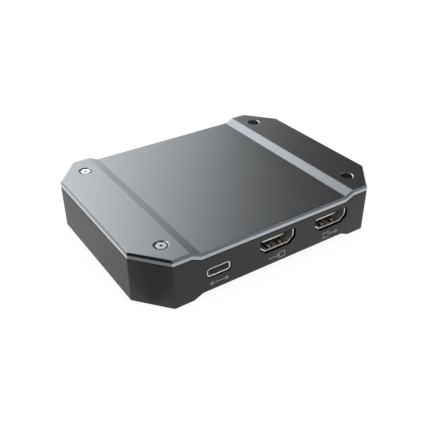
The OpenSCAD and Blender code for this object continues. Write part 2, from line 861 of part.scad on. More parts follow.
// Strip contacts on the socket's sides, with their feet on the board
module audio_springs() {
    reach = jack_l / (jack_springs + 1);
    for (side = [0, 1])
        for (i = [1 : jack_springs])
            mirror([side, 0, 0])
                translate([jack_w / 2, jack_face - i * reach - jack_spring_w / 2, board_top]) {
                    cube([jack_spring_t, jack_spring_w, jack_spring_h]);
                    cube([jack_spring_t + pin_foot, jack_spring_w, jack_spring_t]);
                }
}

module audio_out_socket() { color("#1c1c1d") translate([jack_pitch / 2, 0, 0]) audio_socket(); }
module audio_out_springs() { color("#b8b4ac") translate([jack_pitch / 2, 0, 0]) audio_springs(); }
module audio_in_socket() { color("#1c1c1d") translate([-jack_pitch / 2, 0, 0]) audio_socket(); }
module audio_in_springs() { color("#b8b4ac") translate([-jack_pitch / 2, 0, 0]) audio_springs(); }

module capture_processor() {
    cap_w = chip_w - 2 * chip_cap_in;
    color("#2a2b2d") translate([0, chip_y, board_top]) union() {
        translate([0, 0, chip_base_h / 2]) cube([chip_w, chip_w, chip_base_h], center = true);
        translate([0, 0, chip_base_h + chip_cap_h / 2]) cube([cap_w, cap_w, chip_cap_h], center = true);
    }
}

module processor_pad() {
    pad_w = chip_w - 2 * chip_cap_in;
    color("#8fa6b3") translate([0, chip_y, chip_top + chip_pad_t / 2])
        cube([pad_w, pad_w, chip_pad_t], center = true);
}

// Square block with its upright edges bevelled
module heat_block() {
    a = block_w / 2;
    b = a - block_bevel;
    color("#a9adb0") translate([0, chip_y, block_z]) linear_extrude(height = block_h)
        polygon([[a, -b], [a, b], [b, a], [-b, a], [-a, b], [-a, -b], [-b, -a], [b, -a]]);
}

module cover_pad() {
    pad_w = block_w - 2 * block_bevel;
    color("#8fa6b3") translate([0, chip_y, dish_z - cover_pad_t / 2])
        cube([pad_w, pad_w, cover_pad_t], center = true);
}

// Flat package without legs: a moulded body on a row of pads along each side
module flat_package(place, h) {
    size = [place[2], place[3]];
    pads = floor((min(size) - 1) / pad_row_pitch);
    translate([place[0], place[1], board_top]) union() {
        translate([0, 0, h / 2]) cube([size.x, size.y, h], center = true);
        for (at = row(pads, pad_row_pitch)) {
            translate([at, 0, pad_row_h / 2]) cube([pad_row_w, size.y + pad_row_h, pad_row_h], center = true);
            translate([0, at, pad_row_h / 2]) cube([size.x + pad_row_h, pad_row_w, pad_row_h], center = true);
        }
    }
}

module video_receiver() { color("#232426") flat_package(receiver_chip, qfn_h); }
module video_driver() { color("#232426") flat_package(driver_chip, qfn_h); }
module port_controller() { color("#232426") flat_package(port_chip, qfn_h); }
module audio_codec() { color("#232426") flat_package(codec_chip, qfn_h); }
module power_regulators() { color("#232426") for (place = regulators) flat_package(place, qfn_h); }

module memory_chips() {
    color("#1f2022") for (place = memory_chips)
        translate([place[0], place[1], board_top + memory_h / 2])
            cube([place[2], place[3], memory_h], center = true);
}

// Small package with bent leads on two sides
module firmware_chip() {
    lead_t = pad_row_h;
    reach = firmware_size.x / 2 + pin_foot;
    z_mid = firmware_size.z / 2;
    profile = [[-reach, 0], [-reach + pin_foot / 2, 0], [-reach + pin_foot / 2, z_mid], [0, z_mid],
               [0, z_mid + lead_t], [-reach + pin_foot / 2 - lead_t, z_mid + lead_t],
               [-reach + pin_foot / 2 - lead_t, lead_t], [-reach, lead_t]];
    color("#232426") translate([firmware_at.x, firmware_at.y, board_top]) union() {
        translate([-firmware_size.x / 2, -firmware_size.y / 2, lead_t]) cube(firmware_size);
        for (at = row(firmware_leads, firmware_pitch))
            for (side = [0, 1])
                translate([0, at, 0]) mirror([side, 0, 0]) rotate([90, 0, 0])
                    linear_extrude(height = pad_row_w, center = true) polygon(profile);
    }
}

// Moulded coils with rounded upright edges
module power_inductors() {
    a = inductor_w / 2;
    outline = rounded([[a, -a], [a, a], [-a, a], [-a, -a]], inductor_r);
    color("#3a3a3b") for (at = inductors)
        translate([at.x, at.y, board_top]) linear_extrude(height = inductor_h) polygon(outline);
}

module bulk_capacitors() {
    color("#5b4a2c") for (at = bulk_caps)
        translate([at.x, at.y, board_top]) union() {
            translate([0, 0, bulk_size.z / 2]) cube(bulk_size, center = true);
            for (side = [-1, 1])
                translate([side * bulk_size.x / 2, 0, cap_tab.z / 2])
                    cube([pad_row_h * 2, cap_tab.y, cap_tab.z], center = true);
        }
}

// Rows of small parts on both sides of the processor
module ceramic_capacitors() {
    color("#8c7350") for (side = [-1, 1])
        for (y = row(small_cap_rows, small_cap_pitch))
            translate([side * small_cap_x, chip_y + y, board_top + small_cap.z / 2])
                cube(small_cap, center = true);
}

// Metal cans with a stepped lid
module crystals() {
    color("#b9bbbd") for (at = crystals)
        translate([at.x, at.y, board_top]) union() {
            translate([0, 0, crystal_size.z / 2]) cube(crystal_size, center = true);
            translate([0, 0, crystal_size.z]) linear_extrude(height = crystal_lid.z)
                square([crystal_lid.x, crystal_lid.y], center = true);
        }
}

// Protection parts behind each front socket
module surge_arrays() {
    spots = [[vid_in_x, vid_row_y], [vid_out_x, vid_row_y], [data_x, data_row_y]];
    color("#232426") for (at = spots)
        for (side = [-1, 1])
            translate([at.x + side * surge_spread, at.y, board_top + surge_size.z / 2])
                cube(surge_size, center = true);
}

top_cover();
base_housing();
cover_screws();
screw_inserts();
rubber_feet();
main_board();
board_screws();
video_in_shell();
video_in_tongue();
video_in_contacts();
video_out_shell();
video_out_tongue();
video_out_contacts();
data_port_shell();
data_port_tongue();
data_port_contacts();
audio_out_socket();
audio_out_springs();
audio_in_socket();
audio_in_springs();
capture_processor();
processor_pad();
heat_block();
cover_pad();
video_receiver();
video_driver();
port_controller();
audio_codec();
memory_chips();
firmware_chip();
power_regulators();
power_inductors();
bulk_capacitors();
ceramic_capacitors();
crystals();
surge_arrays();
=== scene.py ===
import json
import math

import bmesh
import bpy
import numpy as np
from mathutils import Matrix, Vector


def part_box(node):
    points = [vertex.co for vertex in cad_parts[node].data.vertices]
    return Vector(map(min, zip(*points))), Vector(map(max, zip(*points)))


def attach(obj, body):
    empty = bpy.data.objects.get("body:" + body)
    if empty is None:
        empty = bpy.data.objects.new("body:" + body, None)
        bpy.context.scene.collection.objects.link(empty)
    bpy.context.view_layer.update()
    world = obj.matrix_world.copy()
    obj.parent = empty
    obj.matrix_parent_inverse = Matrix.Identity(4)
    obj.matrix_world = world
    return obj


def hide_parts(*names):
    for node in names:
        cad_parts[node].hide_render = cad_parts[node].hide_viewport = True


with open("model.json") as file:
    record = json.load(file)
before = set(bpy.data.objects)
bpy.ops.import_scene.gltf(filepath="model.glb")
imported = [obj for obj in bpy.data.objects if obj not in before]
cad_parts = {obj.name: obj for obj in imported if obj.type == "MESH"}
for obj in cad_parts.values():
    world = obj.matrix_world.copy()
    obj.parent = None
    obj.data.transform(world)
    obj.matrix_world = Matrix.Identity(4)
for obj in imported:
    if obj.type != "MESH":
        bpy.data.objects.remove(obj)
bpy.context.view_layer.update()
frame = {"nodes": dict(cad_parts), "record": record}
scene = bpy.context.scene
scene.view_settings.view_transform = "Standard"
mm = 0.001
print("frame loaded:", len(frame["nodes"]), "nodes")


def hexToLinear(code):
    # sRGB hex to linear light: a short straight part near black, then a power of 2.4
    srgb = np.array([int(code[i:i + 2], 16) for i in (1, 3, 5)]) / 255
    linear = np.where(srgb <= 0.04045, srgb / 12.92, ((srgb + 0.055) / 1.055) ** 2.4)
    return (*linear.tolist(), 1.0)


def addNode(tree, kind, values=None, **settings):
    # Settings are the node's own fields; values go to its inputs, as links or as numbers
    node = tree.nodes.new(kind)
    for key, value in settings.items():
        setattr(node, key, value)
    for key, value in (values or {}).items():
        if isinstance(value, bpy.types.NodeSocket):
            tree.links.new(value, node.inputs[key])
        else:
            node.inputs[key].default_value = value
    return node


# Camera, from a fit to the photo's straight edges
view = {
    "azimuth": -33.991,  # degrees round the box, 0 in front of it
    "elevation": 33.317,
    "distance": 234.78,  # mm from the point that the picture's middle shows
    "aim": (1.645, -8.466, 8.76),  # mm, that point: to the right, up the picture, above the floor
    "lens": 49.57,
    "sensor": 36.0,
    "clip": (10, 20000),  # mm, nearest and farthest
}
turn = math.radians(view["azimuth"])
tilt = math.radians(view["elevation"])
backward = Vector((math.sin(turn) * math.cos(tilt), -math.cos(turn) * math.cos(tilt), math.sin(tilt)))
rightward = Vector((math.cos(turn), math.sin(turn), 0))
upward = backward.cross(rightward)
aimRight, aimUp, aimHeight = view["aim"]
aimPoint = rightward * aimRight + upward * aimUp + Vector((0, 0, aimHeight))
lensData = bpy.data.cameras.new("photoCamera")
lensData.lens = view["lens"]
lensData.sensor_width = view["sensor"]
lensData.clip_start, lensData.clip_end = (reach * mm for reach in view["clip"])
camera = bpy.data.objects.new("photoCamera", lensData)
scene.collection.objects.link(camera)
turned = Matrix((rightward, upward, backward)).transposed().to_4x4()
camera.matrix_world = Matrix.Translation((aimPoint + backward * view["distance"]) * mm) @ turned
scene.camera = camera
print("camera set")


# Stage: a white floor, a white room, and cards that only show in reflections
stageSet = {
    "floorRadius": 3.0,  # metres
    "floorRings": (0.0, 0.15, 0.5, 1.0),  # parts of that radius
    "floorSteps": 48,  # points round each ring
    "floorColour": "#ececec",  # what the floor throws back on the object
    "floorShade": "#707070",  # what shows of its lit colour, and so of the shadow on it
    "floorGlow": 0.91,  # white that the eye and reflections see on top of that
    "roomLight": 0.65,  # world strength for diffuse light
}


def newMesh(name, points, faces):
    # Mesh object at the origin, in metres
    mesh = bpy.data.meshes.new(name)
    mesh.from_pydata(points.reshape(-1, 3).tolist(), [], faces.tolist())
    mesh.update()
    piece = bpy.data.objects.new(name, mesh)
    scene.collection.objects.link(piece)
    return piece


def gridFaces(rows, columns, closed=False):
    # Quads between neighbouring rows and columns of a grid; closed joins the last column to the first
    steps = columns if closed else columns - 1
    i, j = np.meshgrid(np.arange(rows - 1), np.arange(steps), indexing="ij")
    k = (j + 1) % columns
    corners = [i * columns + j, i * columns + k, (i + 1) * columns + k, (i + 1) * columns + j]
    return np.stack(corners, -1).reshape(-1, 4)


def seenRays(tree):
    # 1 for camera, glossy and transmission rays, 0 for diffuse light
    path = addNode(tree, "ShaderNodeLightPath")
    first = addNode(tree, "ShaderNodeMath", {0: path.outputs["Is Camera Ray"],
                                             1: path.outputs["Is Glossy Ray"]}, operation="MAXIMUM")
    both = addNode(tree, "ShaderNodeMath", {0: first.outputs[0],
                                            1: path.outputs["Is Transmission Ray"]}, operation="MAXIMUM")
    return both.outputs[0]


def makeRoom():
    # White to the eye and in reflections, dimmer as diffuse light
    world = bpy.data.worlds.new("studioRoom")
    scene.world = world
    world.use_nodes = True
    tree = world.node_tree
    tree.nodes.clear()
    lit = addNode(tree, "ShaderNodeBackground", {"Color": (1, 1, 1, 1), "Strength": stageSet["roomLight"]})
    seen = addNode(tree, "ShaderNodeBackground", {"Color": (1, 1, 1, 1), "Strength": 1.0})
    mixed = addNode(tree, "ShaderNodeMixShader", {0: seenRays(tree), 1: lit.outputs[0], 2: seen.outputs[0]})
    addNode(tree, "ShaderNodeOutputWorld", {"Surface": mixed.outputs[0]})


def makeFloor():
    # Disc: radius times cosine and sine of the turn, on a grid of radius and turn
    rings = np.array(stageSet["floorRings"]) * stageSet["floorRadius"]
    turns = np.linspace(0, 2 * np.pi, stageSet["floorSteps"], endpoint=False)
    radius, angle = np.meshgrid(rings, turns, indexing="ij")
    points = np.stack([radius * np.cos(angle), radius * np.sin(angle), np.zeros_like(radius)], -1)
    floor = newMesh("floor", points, gridFaces(*radius.shape, closed=True))
    material = bpy.data.materials.new("paintedFloor")
    material.use_nodes = True
    tree = material.node_tree
    tree.nodes.clear()
    seen = seenRays(tree)
    shade = addNode(tree, "ShaderNodeMix", {0: seen, 6: hexToLinear(stageSet["floorColour"]),
                                            7: hexToLinear(stageSet["floorShade"])}, data_type="RGBA")
    colour = addNode(tree, "ShaderNodeBsdfDiffuse", {"Color": shade.outputs[2]})
    strength = addNode(tree, "ShaderNodeMath", {0: seen, 1: stageSet["floorGlow"]}, operation="MULTIPLY")
    glow = addNode(tree, "ShaderNodeEmission", {"Color": (1, 1, 1, 1), "Strength": strength.outputs[0]})
    both = addNode(tree, "ShaderNodeAddShader", {0: colour.outputs[0], 1: glow.outputs[0]})
    addNode(tree, "ShaderNodeOutputMaterial", {"Surface": both.outputs[0]})
    floor.data.materials.append(material)


def makeCard(name, points, tones, tint):
    # Glowing sheet on a grid of points, with a brightness for each of them
    card = newMesh(name, points, gridFaces(*tones.shape))
    tone = card.data.attributes.new("tone", "FLOAT", "POINT")
    tone.data.foreach_set("value", tones.ravel())
    material = bpy.data.materials.new(name)
    material.use_nodes = True
    tree = material.node_tree
    tree.nodes.clear()
    fade = addNode(tree, "ShaderNodeAttribute", attribute_name="tone")
    glow = addNode(tree, "ShaderNodeEmission", {"Color": hexToLinear(tint), "Strength": fade.outputs["Fac"]})
    addNode(tree, "ShaderNodeOutputMaterial", {"Surface": glow.outputs[0]})
    card.data.materials.append(material)
    card.visible_camera = False
    card.visible_diffuse = False
    card.visible_transmission = False
    card.visible_shadow = False


# Cards round the box, in degrees: azimuth from the back of the box towards its right end, with the brightness
# at each stop across, and a factor at each stop upwards
cards = {
    # Dark to the right of the box, with a grey slope up to the light behind it
    "rightCard": {"across": {18: 0.95, 25: 0.7, 32: 0.55, 35: 0.35, 36: 0.02, 60: 0.01, 75: 0.02,
                             95: 0.25, 120: 0.35},
                  "upwards": {19: 1.3, 26: 0.7, 36: 1.1, 42: 0.4}, "tint": "#ffffff"},
    "rightLow": {"across": {18: 1.5, 30: 0.9, 36: 0.45, 46: 0.1, 52: 0, 80: 0, 120: 0.3},
                 "upwards": {8: 1.4, 19: 1}, "tint": "#ffffff"},
    "rightSky": {"across": {18: 0.4, 30: 0.2, 50: 0.1, 120: 0.1},
                 "upwards": {42: 1, 60: 1, 70: 0.3, 88: 0}, "tint": "#ffffff"},
    "lowCard": {"across": {18: 0.9, 36: 1, 40: 1.4, 44: 0.7, 50: 0.2, 80: 0.2, 120: 0.7},
                "upwards": {0: 1, 8: 1}, "tint": "#ffffff"},
    # Light behind the box, brightest where it meets the dark
    "backCard": {"across": {-62: 0.35, 0: 0.85, 10: 1.5, 18: 1.3},
                 "upwards": {11: 0.5, 20: 0.9, 30: 1, 40: 0.8}, "tint": "#ffffff"},
    "skyCard": {"across": {-62: 1, 18: 1},
                "upwards": {40: 3.2, 45: 1.4, 52: 1, 62: 0.5, 70: 0.1, 88: 0}, "tint": "#f4f9fe"},
    "horizonCard": {"across": {-62: 0.5, -45: 0.6, -34: 0.95, 18: 0.95},
                    "upwards": {0: 1, 11: 1}, "tint": "#f6fbff"},
    # Near black to the left, dim in front, and a soft light above the camera
    "leftCard": {"across": {-135: 0.015, -62: 0.015}, "upwards": {0: 1, 35: 1}, "tint": "#e0f0ff"},
    "frontCard": {"across": {120: 0.35, 145: 0.35, 180: 0.2, 205: 0.05, 225: 0.02},
                  "upwards": {2: 1, 35: 1}, "tint": "#ecf4fc"},
    "nearSky": {"across": {120: 1.2, 230: 0.9, 298: 0.4},
                "upwards": {35: 0, 42: 1, 60: 1, 70: 0.1, 88: 0}, "tint": "#f4f8fc"},
}
cardReach = 0.9  # metres from the box
cardSteps = (61, 41)  # points across and upwards


def makeRoundCard(name, across, upwards, tint):
    # Part of a sphere: reach times the direction of each azimuth and elevation
    az, el = np.meshgrid(np.linspace(min(across), max(across), cardSteps[0]),
                         np.linspace(min(upwards), max(upwards), cardSteps[1]), indexing="ij")
    tones = np.interp(az, list(across), list(across.values()))
    tones = tones * np.interp(el, list(upwards), list(upwards.values()))
    az, el = np.radians(az), np.radians(el)
    points = cardReach * np.stack([np.sin(az) * np.cos(el), np.cos(az) * np.cos(el), np.sin(el)], -1)
    makeCard(name, points, tones, tint)


# Cards on the floor, each part of a ring in mm and degrees: what the faces of the box show of the floor
floorCards = {
    "cornerFloor": {"centre": (-46.15, -32.9), "radii": (2, 60), "height": 0.3,
                    "across": {-170: 0.85, -155: 0.55, -140: 0.35, -80: 0.3}},
    "leftFloor": {"centre": (-51, 0), "radii": (0.5, 120), "height": 0.2, "across": {-85: 1.1, 0: 1.1}},
    "frontFloor": {"centre": (0, -38.8), "radii": (0.5, 120), "height": 0.2,
                   "across": {92: 0.9, 170: 0.9, 215: 0.8, 268: 0.75}},
}
floorCardSteps = (9, 25)  # points outwards and across


def makeFloorCard(name, centre, radii, height, across):
    # Part of a ring: centre plus radius times the direction of each azimuth
    radius, az = np.meshgrid(np.linspace(*radii, floorCardSteps[0]),
                             np.linspace(min(across), max(across), floorCardSteps[1]), indexing="ij")
    tones = np.interp(az, list(across), list(across.values()))
    az = np.radians(az)
    points = np.stack([centre[0] + radius * np.sin(az), centre[1] + radius * np.cos(az),
                       np.full_like(radius, height)], -1) * mm
    makeCard(name, points, tones, "#ffffff")


# Lamp: a wide soft box overhead, which gives the floor its shadow
lamps = {
    "topLamp": {"azimuth": -20, "elevation": 84, "reach": 0.8, "size": (0.6, 0.6), "watts": 1.0},
}


def makeLamp(name, azimuth, elevation, reach, size, watts):
    lampData = bpy.data.lights.new(name, "AREA")
    lampData.shape = "RECTANGLE"
    lampData.size, lampData.size_y = size
    lampData.energy = watts
    lamp = bpy.data.objects.new(name, lampData)
    scene.collection.objects.link(lamp)
    az, el = math.radians(azimuth), math.radians(elevation)
    lamp.location = Vector((math.sin(az) * math.cos(el), math.cos(az) * math.cos(el), math.sin(el))) * reach
    lamp.rotation_mode = "QUATERNION"
    lamp.rotation_quaternion = (-lamp.location).to_track_quat("-Z", "Y")
    lamp.visible_camera = False
    lamp.visible_glossy = False


makeRoom()
makeFloor()
for cardName, card in cards.items():
    makeRoundCard(cardName, **card)
for cardName, card in floorCards.items():
    makeFloorCard(cardName, **card)
for lampName, lamp in lamps.items():
    makeLamp(lampName, **lamp)
print("stage set:", len(cards) + len(floorCards), "cards and", len(lamps), "lamps")


def startMaterial(name):
    # Material with a Principled shader and Object coordinates in millimetres
    material = bpy.data.materials.new(name)
    material.use_nodes = True
    tree = material.node_tree
    tree.nodes.clear()
    shader = addNode(tree, "ShaderNodeBsdfPrincipled")
    addNode(tree, "ShaderNodeOutputMaterial", {"Surface": shader.outputs[0]})
    place = addNode(tree, "ShaderNodeTexCoord")
    inMm = addNode(tree, "ShaderNodeVectorMath", {0: place.outputs["Object"], "Scale": 1 / mm},
                   operation="SCALE")
    return material, tree, shader, inMm.outputs[0]


# Noise: its detail and how rough it is, and the part of its range that moves a surface's roughness
noiseShape = {"detail": 2.0, "roughness": 0.55, "low": 0.25, "high": 0.75}


def grained(name, look):
    # Noise of one grain size: it shifts the colour a little, moves the roughness and lifts the surface
    material, tree, shader, place = startMaterial(name)
    stretch = look.get("stretch", (1, 1, 1))
    spread = addNode(tree, "ShaderNodeMapping",
                     {"Vector": place, "Scale": tuple(1 / (look["grain"] * s) for s in stretch)})
    noise = addNode(tree, "ShaderNodeTexNoise",
                    {"Vector": spread.outputs[0], "Scale": 1.0, "Detail": noiseShape["detail"],
                     "Roughness": noiseShape["roughness"]})
    colour = addNode(tree, "ShaderNodeMix", {0: noise.outputs[0], 6: hexToLinear(look["colours"][0]),
                                             7: hexToLinear(look["colours"][1])}, data_type="RGBA")
    smoothest, roughest = look["roughness"]
    gloss = addNode(tree, "ShaderNodeMapRange",
                    {"Value": noise.outputs[0], "From Min": noiseShape["low"], "From Max": noiseShape["high"],
                     "To Min": smoothest, "To Max": roughest})
    relief = addNode(tree, "ShaderNodeBump", {"Height": noise.outputs[0], "Strength": look["strength"],
                                              "Distance": look["relief"] * mm})
    tree.links.new(colour.outputs[2], shader.inputs["Base Color"])
    tree.links.new(gloss.outputs[0], shader.inputs["Roughness"])
    tree.links.new(relief.outputs[0], shader.inputs["Normal"])
    if "cut" in look:
        # Faces marked as cut take a colour and a roughness of their own
        marked = addNode(tree, "ShaderNodeAttribute", attribute_name="cut").outputs["Fac"]
        colour = addNode(tree, "ShaderNodeMix", {0: marked, 6: colour.outputs[2],
                                                 7: hexToLinear(look["cut"][0])}, data_type="RGBA")
        smooth = addNode(tree, "ShaderNodeMix", {0: marked, 2: gloss.outputs[0], 3: look["cut"][1]})
        tree.links.new(colour.outputs[2], shader.inputs["Base Color"])
        tree.links.new(smooth.outputs[0], shader.inputs["Roughness"])
    shader.inputs["Metallic"].default_value = look.get("metallic", 0.0)
    if "ior" in look:
        shader.inputs["IOR"].default_value = look["ior"]
    return material


# Finishes: two colours, roughness from and to, grain and relief in mm. The real grains are mostly below
# 0.1 mm and are drawn coarser here, so that they show
finishes = {
    # Aluminium, blasted with fine beads and anodised: a soft metal shine, with a clear one on the cut rim
    "cover_metal": ("anodisedAluminium", {"colours": ("#babec1", "#c0c4c7"), "roughness": (0.34, 0.4),
                                          "metallic": 1.0, "grain": 0.3, "relief": 0.002, "strength": 0.3,
                                          "cut": ("#b4b8bb", 0.17)}),
    # ABS, moulded against a spark-eroded tool: near black, with a dull sheen at a low angle
    "housing_plastic": ("grainedAbs", {"colours": ("#1b1b1b", "#202020"), "roughness": (0.42, 0.5),
                                       "grain": 0.35, "relief": 0.004, "strength": 0.3, "ior": 1.5}),
    # Steel, turned and nickel plated: bright and nearly a mirror, with painted shade in the driver's pit,
    # dark and dull there
    "screw_steel": ("platedScrewSteel", {"colours": ("#f0f1f1", "#f8f8f8"), "roughness": (0.09, 0.13),
                                         "metallic": 1.0, "grain": 0.4, "relief": 0.001, "strength": 0.1,
                                         "cut": ("#444444", 0.4)}),
    # Brass, turned: warm metal with fine tool marks
    "insert_brass": ("turnedBrass", {"colours": ("#b8924a", "#c7a25c"), "roughness": (0.25, 0.35),
                                     "metallic": 1.0, "grain": 0.3, "relief": 0.003, "strength": 0.3,
                                     "stretch": (4, 4, 0.5)}),
    # Rubber, moulded: black and quite dull
    "foot_rubber": ("mouldedRubber", {"colours": ("#141414", "#1c1c1c"), "roughness": (0.7, 0.85),
                                      "grain": 0.4, "relief": 0.01, "strength": 0.4, "ior": 1.5}),
    # Glass laminate under lacquer: green, smooth, with the weave faint below
    "board_laminate": ("lacqueredLaminate", {"colours": ("#123a22", "#1b4a2c"), "roughness": (0.3, 0.4),
                                             "grain": 0.9, "relief": 0.004, "strength": 0.2, "ior": 1.5}),
    # Steel strip, stamped, dull nickel over copper: brown-grey and soft, with faint drawing lines
    "socket_steel": ("dullPlatedSteel", {"colours": ("#90867e", "#9e948b"), "roughness": (0.5, 0.6),
                                         "metallic": 0.35, "grain": 0.25, "relief": 0.002, "strength": 0.2,
                                         "stretch": (1, 8, 1)}),
    # Glass-filled nylon, moulded: black, a little brown, with a soft sheen
    "socket_plastic": ("mouldedNylon", {"colours": ("#0f0e0d", "#151312"), "roughness": (0.4, 0.5),
                                        "grain": 0.3, "relief": 0.003, "strength": 0.3, "ior": 1.53}),
    # Bronze, stamped and gold plated: a muted yellow shine
    "contact_gilt": ("giltBronze", {"colours": ("#9c8250", "#a88e5c"), "roughness": (0.35, 0.45),
                                    "metallic": 1.0, "grain": 0.3, "relief": 0.002, "strength": 0.2}),
    # Bronze strip, tinned: grey with a trace of warmth, satin
    "spring_bronze": ("tinnedBronze", {"colours": ("#b8b4ac", "#c4c0b8"), "roughness": (0.3, 0.4),
                                       "metallic": 1.0, "grain": 0.3, "relief": 0.003, "strength": 0.2}),
    # Epoxy, moulded round the chip: charcoal, matt and fine-grained
    "chip_resin": ("mouldedEpoxy", {"colours": ("#1e1f21", "#26272a"), "roughness": (0.55, 0.68),
                                    "grain": 0.25, "relief": 0.006, "strength": 0.4, "ior": 1.55}),
    # Filled silicone sheet, cut: dull blue-grey and soft
    "pad_silicone": ("filledSilicone", {"colours": ("#869dab", "#96abb7"), "roughness": (0.75, 0.9),
                                        "grain": 0.5, "relief": 0.01, "strength": 0.4, "ior": 1.41}),
    # Aluminium, sawn and milled: pale metal with straight cutter lines
    "block_metal": ("milledAluminium", {"colours": ("#b4b7ba", "#c2c5c7"), "roughness": (0.3, 0.42),
                                        "metallic": 1.0, "grain": 0.3, "relief": 0.004, "strength": 0.3,
                                        "stretch": (12, 1, 1)}),
    # Ferrite powder, pressed: dark grey, slightly speckled
    "coil_ferrite": ("pressedFerrite", {"colours": ("#303032", "#424244"), "roughness": (0.6, 0.75),
                                        "grain": 0.2, "relief": 0.01, "strength": 0.4, "ior": 1.6}),
    # Coloured epoxy, moulded: mustard brown and even
    "capacitor_resin": ("colouredEpoxy", {"colours": ("#6a5226", "#7a6030"), "roughness": (0.4, 0.5),
                                          "grain": 0.4, "relief": 0.004, "strength": 0.3, "ior": 1.55}),
    # Barium ceramic, fired: tan, with a faint glaze
    "capacitor_ceramic": ("firedCeramic", {"colours": ("#8a7250", "#9c8460"), "roughness": (0.35, 0.5),
                                           "grain": 0.2, "relief": 0.004, "strength": 0.3, "ior": 1.7}),
    # Steel can, drawn and nickel plated: bright with a soft grain
    "can_metal": ("drawnCanSteel", {"colours": ("#c0c2c4", "#cccecf"), "roughness": (0.22, 0.3),
                                    "metallic": 1.0, "grain": 0.3, "relief": 0.002, "strength": 0.2}),
}
materials = {slot: grained(name, look) for slot, (name, look) in finishes.items()}
slotOf = {part["node"]: part["material_slot"] for part in frame["record"]["subparts"]}
for nodeName, node in frame["nodes"].items():
    node.data.materials.clear()
    node.data.materials.append(materials[slotOf[nodeName]])
print("finishes made:", len(materials))


def boxMm(nodeName):
    # A node's lowest and highest corners, in millimetres
    return [np.array(corner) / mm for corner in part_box(nodeName)]


def softCorners(corners, reach, steps=5):
    # Each inner corner of a line becomes a quadratic Bezier curve from reach before it to reach after it
    corner = np.array(corners, float)
    middle = corner[1:-1, None]
    before, after = corner[:-2, None] - middle, corner[2:, None] - middle
    start = middle + reach * before / np.linalg.norm(before, axis=-1, keepdims=True)
    end = middle + reach * after / np.linalg.norm(after, axis=-1, keepdims=True)
    t = np.linspace(0, 1, steps)[:, None]
    curves = (1 - t) ** 2 * start + 2 * t * (1 - t) * middle + t ** 2 * end
    return np.concatenate([corner[:1], curves.reshape(-1, 2), corner[-1:]])


def fanPath(outline, fan=5):
    # Closed path round an outline: at each corner the normal swings from one edge's to the next one's
    edge = np.roll(outline, -1, 0) - outline
    facing = np.arctan2(-edge[:, 0], edge[:, 1])
    before = np.roll(facing, 1)
    swing = (facing - before + np.pi) % (2 * np.pi) - np.pi
    angle = (before[:, None] + swing[:, None] * np.linspace(0, 1, fan)).ravel()
    return np.repeat(outline, fan, 0), np.stack([np.cos(angle), np.sin(angle)], -1)


def carried(outline, profile, fan=5):
    # Profile of (offset, level) carried round an outline: rows follow the profile, columns the path
    points, normals = fanPath(outline, fan)
    flat = points[None] + profile[:, None, :1] * normals[None]
    level = np.broadcast_to(profile[:, None, 1:], flat[..., :1].shape)
    return np.concatenate([flat, level], -1)


def sheet(points, closed=False):
    # A grid of points with its faces
    rows, columns = points.shape[:2]
    return points.reshape(-1, 3), gridFaces(rows, columns, closed)


weldReach = 0.002  # mm, corners closer than this are one


def makePiece(name, sheets, material, replaced=None, sharp=35, cut=None):
    # Sheets in millimetres become one mesh: doubles merged, faces turned outwards, flats kept flat. Edges
    # that bend by more than sharp degrees stay crisp, and cut holds 1 for each sheet that is marked as cut
    pointParts, faceParts = zip(*sheets)
    starts = np.cumsum([0] + [len(part) for part in pointParts[:-1]])
    faces = np.concatenate([part + start for part, start in zip(faceParts, starts)])
    piece = newMesh(name, np.concatenate(pointParts) * mm, faces)
    if cut:
        cutMarks = piece.data.attributes.new("cut", "FLOAT", "FACE")
        cutMarks.data.foreach_set("value", np.repeat(np.array(cut, float), [len(part) for part in faceParts]))
    solid = bmesh.new()
    solid.from_mesh(piece.data)
    bmesh.ops.remove_doubles(solid, verts=solid.verts, dist=weldReach * mm)
    bmesh.ops.recalc_face_normals(solid, faces=solid.faces)
    solid.to_mesh(piece.data)
    solid.free()
    piece.data.polygons.foreach_set("use_smooth", np.ones(len(piece.data.polygons), bool))
    piece.data.set_sharp_from_angle(angle=math.radians(sharp))
    flats = piece.modifiers.new("flatFaces", "WEIGHTED_NORMAL")
    flats.keep_sharp = True
    piece.data.materials.append(material)
    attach(piece, "root")
    if replaced:
        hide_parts(replaced)


quarters = ((1, 1), (-1, 1), (-1, -1), (1, -1))  # signs of x and y at the four corners of the box

# Cover: high at both ends and dished in the middle, with a chamfer all round and four counterbores
coverShape = {
    "bend": 34.4,  # from the middle to where the ends start to fall, mm
    "foot": 30.95,  # from the middle to the foot of the slopes
    "dish": 1.6,  # drop of the middle
    "bendSoft": 0.3,  # half the width of the bends
    "bendSteps": 7,  # points across a bend
    "middleSteps": 5,  # points from the middle to the foot
    "cornerCut": (9.7, 11.8),
    "cornerRadius": 0.9,  # of the upright edges
    "chamfer": (0.6, 0.85),  # in and down
    "edgeSoft": 0.05,
    "thickness": 2.1,
    "screwAt": (39.9, 29.2),
    "bore": [(2.8, 0), (2.6, 0), (2.3, 0.18), (2.3, 1.5), (1.45, 1.5), (1.45, 3.3), (3.4, 3.3), (3.4, 2.1)],
    "rayStep": 7.5,  # degrees between the rays that part the ends round their counterbores
    "lip": [(-2.2, 2.0), (-2.2, 3.5), (-3.2, 3.5), (-3.2, 2.0)],  # offset and drop of the rib underneath
}


def raysAlong(start, end, centre):
    # Points of a straight edge where evenly turned rays from the centre meet it, both ends included
    a, b = start - centre, end - centre
    first = np.arctan2(a[1], a[0])
    turn = (np.arctan2(b[1], b[0]) - first) % (2 * np.pi)
    count = math.ceil(turn / math.radians(coverShape["rayStep"])) + 1
    angle = first + np.linspace(0, turn, count)
    ray = np.stack([np.cos(angle), np.sin(angle)], -1)
    across = np.array([end[1] - start[1], start[0] - end[0]])
    return centre + ray * (a @ across / (ray @ across))[:, None]


